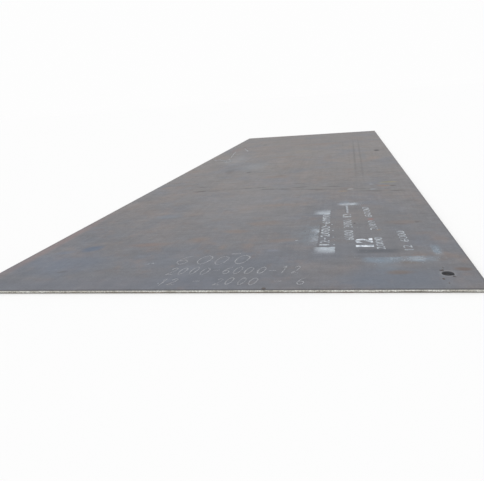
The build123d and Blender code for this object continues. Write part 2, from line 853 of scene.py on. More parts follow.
@dataclass(frozen=True)
class ShearedEdge:
    """The edge that the shear leaves, from its rolled-over top down to its torn foot."""

    steps: tuple[float, ...] = (0.0025, 0.005, 0.005, 0.005)
    line_wander: float = 0.0012
    line_nibble: float = 0.0012
    gap_depth: float = 0.006
    gap_rarity: float = 0.28
    line_limits: Spot = (0.0025, 0.0085)
    ledge: float = 0.00025
    tear_relief: float = 0.0005
    tear_limit: float = 0.0022
    tear_shares: tuple[float, ...] = (0.07, 0.3, 0.55, 0.8, 1.0)

    def stations(self) -> list[Station]:
        """Walks round the plate.

        Returns:
            Its upright lines, anticlockwise from the near left corner.
        """
        stations = []
        for side, step in zip(Side, self.steps):
            count = 2 * round(side.half_spans[0] / step)
            stations += [Station(side, 2 * number / count - 1) for number in range(count)]
        return stations

    def tear_height(self, station: Station) -> float:
        """The ragged line where the burnished band ends.

        Args:
            station: The upright line to look at.

        Returns:
            Its height there.
        """
        wander = station.rough(14.0, 1) * self.line_wander
        nibble = (station.rough(95.0, 2) + station.rough(190.0, 4)) * self.line_nibble
        gap = max(0.0, station.rough(6.0, 3) - self.gap_rarity) * self.gap_depth
        low, high = self.line_limits
        return min(max(PLATE.tear_line + wander + nibble + gap, low), high)

    def build(self, shell: Shell) -> tuple[list[int], list[int]]:
        """Builds the edge.

        Args:
            shell: The mesh to add it to.

        Returns:
            The rings where the flat top and the flat underside begin.
        """
        stations = self.stations()
        rounded = []
        for angle in map(math.radians, RIM_TURNS):
            inset = PLATE.rollover_reach * (1 - math.cos(angle))
            height = PLATE.shoulder + PLATE.rollover_depth * math.sin(angle)
            rounded.append(shell.ring(s.at(inset, height) for s in stations))
        shell.strips(rounded, Zone.ROLLOVER)
        heights = [self.tear_height(s) for s in stations]
        torn = [shell.ring(s.at(0.0, height) for s, height in zip(stations, heights))]
        shell.strips([rounded[-1], torn[0]], Zone.BURNISHED)
        for layer, share in enumerate(self.tear_shares, start=10):
            points = []
            for station, top in zip(stations, heights):
                relief = self.tear_relief * abs(station.rough(120.0, layer)) * station.calm
                inset = self.ledge + PLATE.tear_setback * share**0.8 + relief
                points.append(station.at(min(inset, self.tear_limit), top * (1 - share)))
            torn.append(shell.ring(points))
        shell.strips(torn, Zone.TORN)
        return rounded[0], torn[-1]


@dataclass(frozen=True)
class LiftingHole:
    """A hole cut through the plate with a torch, with a melted rim and a piercing nick."""

    centre: Spot
    radius: float
    seed: float
    lines: int = 360
    rim_waver: float = 0.35
    drag_pitch: float = 0.0021
    drag_depth: float = 0.00022
    drag_lag: float = 4.8
    waver: float = 0.000275
    wall_shares: tuple[float, ...] = (0.08, 0.2, 0.35, 0.5, 0.65, 0.8, 0.92, 1.0)

    def outline(self, angle: float) -> float:
        """The distance from the hole's centre to its wall.

        Args:
            angle: The direction, in radians from +X.

        Returns:
            The distance, larger in the nick.
        """
        off = angle - math.radians(PLATE.pierce_heading)
        off = math.atan2(math.sin(off), math.cos(off))
        side = self.radius * math.sin(off)
        if math.cos(off) < 0 or abs(side) >= PLATE.pierce_radius:
            return self.radius
        depth = math.sqrt(PLATE.pierce_radius**2 - side**2)
        return max(self.radius, self.radius * math.cos(off) + depth)

    def ring(self, height: float, grow: Callable[[float], float]) -> list[Vector]:
        """One ring of points round the hole.

        Args:
            height: The ring's height.
            grow: What is added to the radius in each direction.

        Returns:
            The points, clockwise from above.
        """
        points = []
        for angle in (-2 * math.pi * line / self.lines for line in range(self.lines)):
            radius = self.outline(angle) + grow(angle)
            x = self.centre[0] + radius * math.cos(angle)
            y = self.centre[1] + radius * math.sin(angle)
            points.append(Vector((x, y, height)))
        return points

    def uneven(self, angle: float, layer: float, scale: float = 2.5) -> float:
        """Noise round the hole that meets itself, between about -1 and 1."""
        return noise.noise(Vector((math.cos(angle) * scale, math.sin(angle) * scale, layer + self.seed)))

    def rim(self, angle: float, swell: float) -> float:
        """How far the melted rim stands back, where it has rounded off by this share."""
        melted = PLATE.rim_radius * (1 + self.rim_waver * self.uneven(angle, 4.0, 5.0))
        return self.waver * self.uneven(angle, 1.0) + melted * swell

    def wall(self, angle: float, share: float) -> float:
        """How far the flame cut into the wall.

        Args:
            angle: The direction, in radians from +X.
            share: How far down the wall, from 0 to 1.

        Returns:
            The depth of the cut.
        """
        cycles = round(2 * math.pi * self.radius / self.drag_pitch)
        wave = math.sin(cycles * angle + self.drag_lag * share * share)
        groove = self.drag_depth * share * (1 + wave)
        return self.waver * self.uneven(angle, 1.0 + share * 0.8) + groove

    def build(self, shell: Shell) -> tuple[list[int], list[int]]:
        """Builds the hole's rim and wall.

        Args:
            shell: The mesh to add them to.

        Returns:
            The rings where the rim meets the top and the wall meets the underside.
        """
        rings = []
        for turn in map(math.radians, RIM_TURNS):
            height = PLATE.shoulder + PLATE.rim_radius * math.sin(turn)
            swell = 1 - math.cos(turn)
            rings.append(shell.ring(self.ring(height, lambda angle: self.rim(angle, swell))))
        for share in self.wall_shares:
            height = PLATE.shoulder * (1 - share)
            rings.append(shell.ring(self.ring(height, lambda angle: self.wall(angle, share))))
        shell.strips(rings, Zone.TORCH_CUT)
        return rings[0], rings[-1]


@dataclass(frozen=True)
class Unfolding:
    """Lays the plate's skin out flat on one square, so that its finishes keep their detail.

    The top takes most of it, in two halves side by side. Below lie the underside, the hole
    walls, and the edge in six rows: the near and far ends, and each long side in two halves.
    """

    holes: tuple[LiftingHole, ...]
    layer: str = "OFBake"
    gap: float = 0.005
    top_foot: float = 0.14
    top_pitch: float = 0.4975
    top_width: float = 0.4925
    low_foot: float = 0.075
    low_height: float = 0.06
    under_reach: float = 0.875
    wall_start: float = 0.995
    wall_reach: float = 0.105
    row_pitch: float = 0.0112
    row_height: float = 0.0098
    rows_to_second_half: int = 3

    def lay(self, mesh: bpy.types.Mesh, zones: list[Zone]) -> None:
        """Writes the layout into the mesh.

        Args:
            mesh: The plate's mesh.
            zones: The zone of each of its faces.
        """
        layer = mesh.uv_layers.new(name=self.layer)
        spots = [0.0] * (2 * len(mesh.loops))
        for face, zone in zip(mesh.polygons, zones):
            centre = face.center.copy()
            for loop in face.loop_indices:
                point = mesh.vertices[mesh.loops[loop].vertex_index].co
                spots[2 * loop : 2 * loop + 2] = self.spot(zone, centre, point)
        layer.uv.foreach_set("vector", spots)

    def spot(self, zone: Zone, centre: Vector, point: Vector) -> Spot:
        """Where a face's corner lies on the square.

        Args:
            zone: The face's zone.
            centre: The face's centre.
            point: The corner.

        Returns:
            The place on the square.
        """
        across, along = point.x / PLATE.width + 0.5, point.y / PLATE.length + 0.5
        if zone is Zone.TOP:
            half = 0 if centre.y < 0 else 1
            top_height = 1 - self.gap - self.top_foot
            foot = self.top_foot + (2 * along - half) * top_height
            return (self.gap + half * self.top_pitch + across * self.top_width, foot)
        if zone is Zone.UNDERSIDE:
            return (self.gap + along * self.under_reach, self.low_foot + across * self.low_height)
        return (self.hole_spot if zone is Zone.TORCH_CUT else self.edge_spot)(zone, centre, point)

    def hole_spot(self, zone: Zone, centre: Vector, point: Vector) -> Spot:
        """Where a corner of a hole's wall lies: round the hole, and up the wall.

        Args:
            zone: The face's zone.
            centre: The face's centre.
            point: The corner.

        Returns:
            The place on the square.
        """
        away = [(Vector(hole.centre) - centre.xy).length for hole in self.holes]
        number = away.index(min(away))
        middle = Vector(self.holes[number].centre)
        heading = math.atan2(centre.y - middle.y, centre.x - middle.x) % math.tau
        turn = math.atan2(point.y - middle.y, point.x - middle.x) - heading
        heading += math.atan2(math.sin(turn), math.cos(turn))
        half_height = self.low_height / 2
        up = point.z / PLATE.thickness * (half_height - self.gap / 2)
        across = self.wall_start - self.wall_reach * heading / math.tau
        return (across, self.low_foot + number * half_height + up)

    def edge_spot(self, zone: Zone, centre: Vector, point: Vector) -> Spot:
        """Where a corner of the edge lies: along its row, and up the unfolded edge.

        Args:
            zone: The face's zone.
            centre: The face's centre.
            point: The corner.

        Returns:
            The place on the square.
        """
        if PLATE.length / 2 - abs(centre.y) < PLATE.width / 2 - abs(centre.x):
            side = Side.NEAR if centre.y < 0 else Side.FAR
        else:
            side = Side.RIGHT if centre.x > 0 else Side.LEFT
        (along, out), (half_along, half_out) = side.ways, side.half_spans
        run = point.xy.dot(along) / half_along
        row = list(Side).index(side)
        if side in (Side.RIGHT, Side.LEFT):
            late = centre.xy.dot(along) > 0
            run = run * 2 - (1 if late else -1)
            row += self.rows_to_second_half if late else 0
        inset = half_out - point.xy.dot(out) if zone is Zone.ROLLOVER else 0.0
        unfolded = PLATE.rollover_reach + PLATE.thickness
        share = 1 - (unfolded - inset - point.z) / unfolded
        foot = self.gap + row * self.row_pitch
        return (self.gap + (run + 1) / 2 * (1 - 2 * self.gap), foot + share * self.row_height)


@dataclass(frozen=True)
class SteelPlate:
    """The plate: one closed skin that stands for the CAD node."""

    edge: ShearedEdge
    holes: tuple[LiftingHole, ...]
    finishes: tuple[bpy.types.Material, ...]
    top_spread: float = 0.1
    underside_spread: float = 0.2
    sharp_from: float = 38.0

    def build(self) -> bpy.types.Object:
        """Builds and dresses the plate, and has it ride on its body.

        Returns:
            The plate's object.
        """
        shell = Shell()
        top, foot = self.edge.build(shell)
        rims = [hole.build(shell) for hole in self.holes]
        shell.pave(top, [rim for rim, _ in rims], self.top_spread, Zone.TOP)
        shell.pave(foot, [low for _, low in rims], self.underside_spread, Zone.UNDERSIDE)
        mesh = shell.mesh("plate_skin")
        Unfolding(self.holes).lay(mesh, shell.zones)
        for finish in self.finishes:
            mesh.materials.append(finish)
        mesh.shade_smooth()
        mesh.set_sharp_from_angle(angle=math.radians(self.sharp_from))
        piece = placed("plate_skin", mesh)
        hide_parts(PLATE_NODE)
        return piece


def placed(name: str, mesh: bpy.types.Mesh) -> bpy.types.Object:
    """Puts a mesh into the scene as a piece that rides on the plate's body.

    Args:
        name: The piece's name.
        mesh: Its mesh, in the plate's frame.

    Returns:
        The piece.
    """
    piece = bpy.data.objects.new(name, mesh)
    bpy.context.scene.collection.objects.link(piece)
    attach(piece, BODY)
    LOG.info("%s: %d faces", name, len(mesh.polygons))
    return piece


@dataclass
class FlatMarks:
    """Marks of one kind that lie flat on the top face, gathered before their piece is made."""

    lift: float
    points: list[Vector] = field(default_factory=list, init=False)
    faces: list[Face] = field(default_factory=list, init=False)

    def add(self, outline: Iterable[Spot], sides: Iterable[Face]) -> None:
        """Adds one shape.

        Args:
            outline: Its points in the plate's frame.
            sides: Its faces, by the numbers of those points.
        """
        start = len(self.points)
        height = PLATE.thickness + self.lift
        self.points += [Vector((x, y, height)) for x, y in outline]
        self.faces += [tuple(start + number for number in side) for side in sides]

    def speck(self, spot: Spot, turn: float, reaches: list[float]) -> None:
        """Adds one small speck.

        Args:
            spot: Its middle.
            turn: The direction of its first corner, in radians.
            reaches: How far each corner lies from the middle.
        """
        corners = []
        for corner, reach in enumerate(reaches):
            angle = turn + corner * math.tau / len(reaches)
            corners.append((spot[0] + reach * math.cos(angle), spot[1] + reach * math.sin(angle)))
        self.add(corners, [tuple(range(len(reaches)))])

    def dress(self, name: str, finish: bpy.types.Material) -> bpy.types.Object:
        """Makes the piece, with every face looking up.

        Args:
            name: Its name.
            finish: Its material.

        Returns:
            The piece.
        """
        mesh = bpy.data.meshes.new(name)
        mesh.from_pydata(self.points, [], self.faces)
        sheet = bmesh.new()
        sheet.from_mesh(mesh)
        for face in sheet.faces:
            face.normal_update()
            if face.normal.z < 0:
                face.normal_flip()
        sheet.to_mesh(mesh)
        sheet.free()
        mesh.materials.append(finish)
        return placed(name, mesh)


@dataclass(frozen=True)
class StencilRow:
    """One row of sprayed numerals, read along the plate with their feet to the right."""

    text: str
    foot: float
    start: float
    end: float
    height: float
    lean: float = 0.0
    weight: float = 0.02

    def point(self, across: float, up: float) -> Spot:
        """Where a point of the row's own box lies, by its shares of the length and height."""
        along = self.start + across * (self.end - self.start)
        return (self.foot - up * self.height + self.lean * across, along + PLATE.near_end)


# The start and size, across and up, of the signs that don't fill their box
SLIM_SIGNS = {"1": (0.31, 0.38, 0.0, 1.0), "-": (0.15, 0.7, 0.42, 0.16)}


@dataclass
class StencilMarks(FlatMarks):
    """Rows of numerals, sprayed through a stencil whose bridges leave gaps in them."""

    fill: float = 0.84
    bridged: str = "0268"
    bridge: Spot = (0.45, 0.55)
    stray: float = 0.0004
    stray_scale: float = 160.0
    curve_steps: int = 5
    longest_side: float = 0.2
    cuts: int = 3

    def numeral(self, sign: str, weight: float) -> tuple[list[Vector], list[Face]]:
        """The shape of one numeral in a box of one by one, with its stencil bridges cut.

        Args:
            sign: The numeral.
            weight: How much broader its strokes are than the plain ones.

        Returns:
            Its points and faces.
        """
        curve = bpy.data.curves.new("numeral", "FONT")
        curve.body = sign
        curve.resolution_u = self.curve_steps
        curve.offset = weight
        holder = bpy.data.objects.new("numeral", curve)
        flat = bpy.data.meshes.new_from_object(holder)
        bpy.data.objects.remove(holder)
        bpy.data.curves.remove(curve)
        sheet = bmesh.new()
        sheet.from_mesh(flat)
        bpy.data.meshes.remove(flat)
        low = Vector([min(v.co[axis] for v in sheet.verts) for axis in range(2)])
        high = Vector([max(v.co[axis] for v in sheet.verts) for axis in range(2)])
        span = high - low
        for vert in sheet.verts:
            vert.co.xy = ((vert.co.x - low.x) / span.x, (vert.co.y - low.y) / span.y)
        if sign in self.bridged:
            for wall in self.bridge:
                geometry = sheet.verts[:] + sheet.edges[:] + sheet.faces[:]
                plane = {"plane_co": (wall, 0, 0), "plane_no": (1, 0, 0), "dist": 1e-6}
                bmesh.ops.bisect_plane(sheet, geom=geometry, **plane)
            left, right = self.bridge
            between = [f for f in sheet.faces if left < f.calc_center_median().x < right]
            bmesh.ops.delete(sheet, geom=between, context="FACES")
        long_edges = [edge for edge in sheet.edges if edge.calc_length() > self.longest_side]
        bmesh.ops.subdivide_edges(sheet, edges=long_edges, cuts=self.cuts, use_grid_fill=False)
        bmesh.ops.triangulate(sheet, faces=sheet.faces[:])
        sheet.verts.index_update()
        left, wide, foot, tall = SLIM_SIGNS.get(sign, (0.0, 1.0, 0.0, 1.0))
        points = [Vector((left + v.co.x * wide, foot + v.co.y * tall, 0)) for v in sheet.verts]
        faces = [tuple(vert.index for vert in face.verts) for face in sheet.faces]
        sheet.free()
        return points, faces

    def spray(self, row: StencilRow) -> None:
        """Sprays one row.

        Args:
            row: The row.
        """
        signs = dict.fromkeys(row.text.replace(" ", ""))
        numerals = {sign: self.numeral(sign, row.weight) for sign in signs}
        cell = 1 / len(row.text)
        for number, sign in enumerate(row.text):
            if sign == " ":
                continue
            shape, sides = numerals[sign]
            outline = []
            for point in shape:
                across = (number + (1 - self.fill) / 2 + point.x * self.fill) * cell
                x, y = row.point(across, point.y)
                stray = noise.noise_vector(Vector((x, y, 0.0)) * self.stray_scale) * self.stray
                outline.append((x + stray.x, y + stray.y))
            self.add(outline, sides)


@dataclass(frozen=True)
class ChalkLine:
    """One handwritten line of chalk numerals, read across the plate."""

    text: str
    start: Spot
    cell: float
    height: float
    slant: float = 0.25
    pressure: float = 0.72


Route = tuple[Spot, ...]
STEPS_PER_SPAN = 9
STROKES: dict[str, tuple[Route, ...]] = {
    "0": (((0.55, 1), (0.2, 0.8), (0.1, 0.3), (0.4, 0), (0.75, 0.22), (0.85, 0.75), (0.5, 0.98)),),
    "1": (((0.28, 0.76), (0.55, 1), (0.53, 0.5), (0.45, 0)),),
    "2": (((0.15, 0.76), (0.42, 1), (0.78, 0.84), (0.6, 0.45), (0.1, 0.03), (0.5, 0.07), (0.95, 0)),),
    "6": (((0.75, 0.98), (0.3, 0.7), (0.12, 0.25), (0.45, 0), (0.78, 0.25), (0.5, 0.5), (0.2, 0.35)),),
    "-": (((0.1, 0.46), (0.9, 0.5)),),
}


@dataclass
class Chalk(FlatMarks):
    """Chalk marks, as the broken flecks that a stick leaves on rough scale."""

    seed: int
    width: float = 0.0046
    lane_pitch: float = 0.0016
    lane_sway: float = 0.45
    step: float = 0.0015
    fleck: float = 0.0014
    fleck_shares: Spot = (0.6, 1.0)
    worn_scale: float = 60.0
    worn_share: float = 0.7
    # The hand's unevenness, as shares of a cell and of a line's height and pressure
    sway: float = 0.06
    dip: float = 0.05
    wide_shares: Spot = (0.66, 0.8)
    tall_shares: Spot = (0.88, 1.05)
    press_shares: Spot = (0.8, 1.15)

    def __post_init__(self) -> None:
        """Seeds the draws."""
        self.chance = random.Random(self.seed)

    def stroke(self, route: Iterable[Spot], pressure: float, width: float) -> None:
        """Draws one smooth stroke.

        Args:
            route: The points it goes through, measured from the near end.
            pressure: How much of the stroke holds chalk, 0 to 1.
            width: How wide it is.
        """
        chance = self.chance
        lanes = max(3, round(width / self.lane_pitch))
        line = smooth([(x, y + PLATE.near_end) for x, y in route])
        offset = chance.uniform(0, 50)
        for here, ahead in zip(line, line[1:]):
            step = ahead - here
            count = max(1, round(step.length / self.step))
            side = Vector((-step.y, step.x)).normalized() if step.length else Vector((0, 1))
            for part in range(count):
                spot = here + step * (part / count)
                worn = noise.noise(Vector((spot.x * self.worn_scale, spot.y * self.worn_scale, offset)))
                hold = pressure * (1 + self.worn_share * worn)
                for lane in range(lanes):
                    if chance.random() >= hold:
                        continue
                    lane_middle = lane + 0.5 + chance.uniform(-self.lane_sway, self.lane_sway)
                    away = (lane_middle / lanes - 0.5) * width
                    turn = chance.uniform(0, math.tau)
                    reaches = [self.fleck * chance.uniform(*self.fleck_shares) for _ in range(4)]
                    self.speck((spot.x + side.x * away, spot.y + side.y * away), turn, reaches)

    def write(self, line: ChalkLine) -> None:
        """Writes one line of numerals.

        Args:
            line: The line.
        """
        chance = self.chance
        for number, sign in enumerate(line.text):
            if sign == " ":
                continue
            left = line.start[0] + (number + chance.uniform(-self.sway, self.sway)) * line.cell
            foot = line.start[1] + chance.uniform(-self.dip, self.dip) * line.height
            wide = line.cell * chance.uniform(*self.wide_shares)
            tall = line.height * chance.uniform(*self.tall_shares)
            slant = line.slant * line.cell
            for stroke in STROKES[sign]:
                route = [(left + x * wide + y * slant, foot + y * tall) for x, y in stroke]
                self.stroke(route, line.pressure * chance.uniform(*self.press_shares), self.width)


def smooth(route: list[Spot]) -> list[Vector]:
    """Rounds a route of points into a line that goes through all of them.

    Args:
        route: The points.

    Returns:
        The points of the smooth line.
    """
    knots = [Vector((x, y, 0.0)) for x, y in route]
    if len(knots) < 3:
        return [knot.xy for knot in knots]
    padded = [knots[0], *knots, knots[-1]]
    line: list[Vector] = []
    for before, here, ahead, after in zip(padded, padded[1:], padded[2:], padded[3:]):
        out = here + (ahead - before) / 6
        back = ahead - (after - here) / 6
        line += [point.xy for point in interpolate_bezier(here, out, back, ahead, STEPS_PER_SPAN)[:-1]]
    line.append(knots[-1].xy)
    return line


@dataclass(frozen=True)
class SprayMist:
    """A cloud of fine paint drops beside a stencil, cut off where the stencil's sheet lay."""

    spot: Spot
    reach: Spot
    drops: int
    limit_x: Spot = (-0.98, 0.98)
    limit_y: Spot = (0.02, 5.9)


@dataclass
class Overspray(FlatMarks):
    """The drops of paint that went past the stencils."""

    seed: int
    sizes: Spot = (0.0004, 0.0014)

    def __post_init__(self) -> None:
        """Seeds the draws."""
        self.chance = random.Random(self.seed)

    def drop(self, x: float, y: float, size: float) -> None:
        """Leaves one round drop."""
        self.speck((x, y + PLATE.near_end), self.chance.uniform(0, 1), [size] * 6)

    def settle(self, mist: SprayMist) -> None:
        """Lets one cloud of drops settle.

        Args:
            mist: The cloud.
        """
        for _ in range(mist.drops):
            x, y = (self.chance.gauss(*pair) for pair in zip(mist.spot, mist.reach))
            size = self.chance.uniform(*self.sizes)
            if mist.limit_x[0] < x < mist.limit_x[1] and mist.limit_y[0] < y < mist.limit_y[1]:
                self.drop(x, y, size)


@dataclass(frozen=True)
class SlagDrop:
    """One drop of slag that stuck to the top face."""

    spot: Spot
    reach: Spot
    turn: float
    rise: float


@dataclass(frozen=True)
class SlagDrops:
    """The drops of slag that lie about, sunk a little into the scale that they stick to."""

    drops: tuple[SlagDrop, ...]
    lump: float = 0.2
    lump_scale: float = 1.5
    lump_pitch: float = 5.0

    def build(self, finish: bpy.types.Material) -> bpy.types.Object:
        """Builds the drops.

        Args:
            finish: Their material.

        Returns:
            The piece.
        """
        sheet = bmesh.new()
        for number, drop in enumerate(self.drops):
            made = bmesh.ops.create_icosphere(sheet, subdivisions=3, radius=1.0)["verts"]
            for vert in made:
                draw = vert.co * self.lump_scale + Vector((number * self.lump_pitch, 0, 0))
                vert.co *= 1 + self.lump * noise.noise(draw)
                x, y, z = vert.co
                vert.co = (x * drop.reach[0], y * drop.reach[1], z * drop.rise)
            place = Vector((drop.spot[0], drop.spot[1] + PLATE.near_end, PLATE.thickness))
            turn = Matrix.Rotation(math.radians(drop.turn), 4, "Z")
            bmesh.ops.transform(sheet, matrix=Matrix.Translation(place) @ turn, verts=made)
        mesh = bpy.data.meshes.new("slag_drops")
        sheet.to_mesh(mesh)
        sheet.free()
        mesh.shade_smooth()
        mesh.materials.append(finish)
        return placed("slag_drops", mesh)


@dataclass(frozen=True)
class PhotoCamera:
    """The camera at the photograph's viewing angle."""

    place: Triple = (0.52861, -4.47757, 0.68129)
    yaw: float = -10.5232
    pitch: float = 17.7686
    roll: float = 4.5234
    focal_pixels: float = 455.119
    frame_width: int = 484
    axis_right_of_middle: int = 24
    sensor: float = 36.0

    def set_up(self) -> bpy.types.Object:
        """Makes the camera and hands the scene to it.

        Returns:
            The camera.
        """
        yaw, pitch, roll = (math.radians(a) for a in (self.yaw, self.pitch, self.roll))
        ahead = Vector((math.sin(yaw) * math.cos(pitch), math.cos(yaw) * math.cos(pitch), -math.sin(pitch)))
        level = Vector((math.cos(yaw), -math.sin(yaw), 0.0))
        down = ahead.cross(level)
        right = math.cos(roll) * level + math.sin(roll) * down
        low = math.cos(roll) * down - math.sin(roll) * level
        lens = bpy.data.cameras.new("photo_camera")
        lens.sensor_width = self.sensor
        lens.sensor_fit = "HORIZONTAL"
        lens.lens = self.focal_pixels / self.frame_width * self.sensor
        lens.shift_x = -self.axis_right_of_middle / self.frame_width
        lens.clip_start = 0.01
        lens.clip_end = 500.0
        lens.dof.use_dof = False
        camera = bpy.data.objects.new("photo_camera", lens)
        turn = Matrix((right, -low, -ahead)).transposed().to_4x4()
        camera.matrix_world = Matrix.Translation(Vector(self.place)) @ turn
        bpy.context.scene.collection.objects.link(camera)
        bpy.context.scene.camera = camera
        return camera


@dataclass(frozen=True)
class Studio:
    """A plain pale floor under plain soft light, and a dark sheet under the plate as painted shade."""

    floor_colour: Colour = shade(240.5, 240.5, 240.5)
    floor_reach: float = 70.0
    floor_drop: float = 0.0004
    # The colour of the dark sheet under the plate: painted shade
    painted_shade_colour: Colour = shade(90, 91, 94)
    shade_inset: float = 0.05
    sky: float = 0.985
    lamp_strength: float = 0.6
    lamp_from: Triple = (-2.5, -7.0, 7.5)
    lamp_softness: float = 25.0

    def set_up(self) -> None:
        """Lays the floor and the dark sheet of painted shade under the plate, lights the world and hangs
        the lamp.
        """
        floor = bmesh.new()
        bmesh.ops.create_circle(floor, cap_ends=True, radius=self.floor_reach, segments=64)
        self.lay("stage_floor", floor, self.floor_colour, -self.floor_drop)
        # Painted shade: a dark sheet under the plate, so that the floor seen through the holes is dark, as
        # if in the plate's shadow
        under = bmesh.new()
        bmesh.ops.create_grid(under, x_segments=1, y_segments=1, size=1.0)
        reach = (PLATE.width / 2 - self.shade_inset, PLATE.length / 2 - self.shade_inset, 1.0)
        bmesh.ops.scale(under, vec=reach, verts=under.verts[:])
        self.lay("stage_painted_shade_under_plate", under, self.painted_shade_colour, -self.floor_drop / 2)

        world = bpy.data.worlds.new("studio")
        bpy.context.scene.world = world
        world.use_nodes = True
        sky = next(n for n in world.node_tree.nodes if n.type == "BACKGROUND")
        sky.inputs["Color"].default_value = (1.0, 1.0, 1.0, 1.0)
        sky.inputs["Strength"].default_value = self.sky

        lamp = bpy.data.lights.new("soft_lamp", "SUN")
        lamp.energy = self.lamp_strength
        lamp.angle = math.radians(self.lamp_softness)
        holder = bpy.data.objects.new("soft_lamp", lamp)
        holder.rotation_euler = Vector(self.lamp_from).to_track_quat("Z", "Y").to_euler()
        bpy.context.scene.collection.objects.link(holder)
        bpy.context.scene.view_settings.view_transform = "Standard"

    @staticmethod
    def lay(name: str, sheet: bmesh.types.BMesh, colour: Colour, height: float) -> None:
        """Lays one plain sheet of the stage.

        Args:
            name: Its name.
            sheet: Its shape, freed here.
            colour: Its colour.
            height: Its height.
        """
        mesh = bpy.data.meshes.new(name)
        sheet.to_mesh(mesh)
        sheet.free()
        finish = Recipe(name).finish(Base_Color=colour, Roughness=0.9, Specular_IOR_Level=0.0)
        mesh.materials.append(finish)
        piece = bpy.data.objects.new(name, mesh)
        piece.location.z = height
        bpy.context.scene.collection.objects.link(piece)


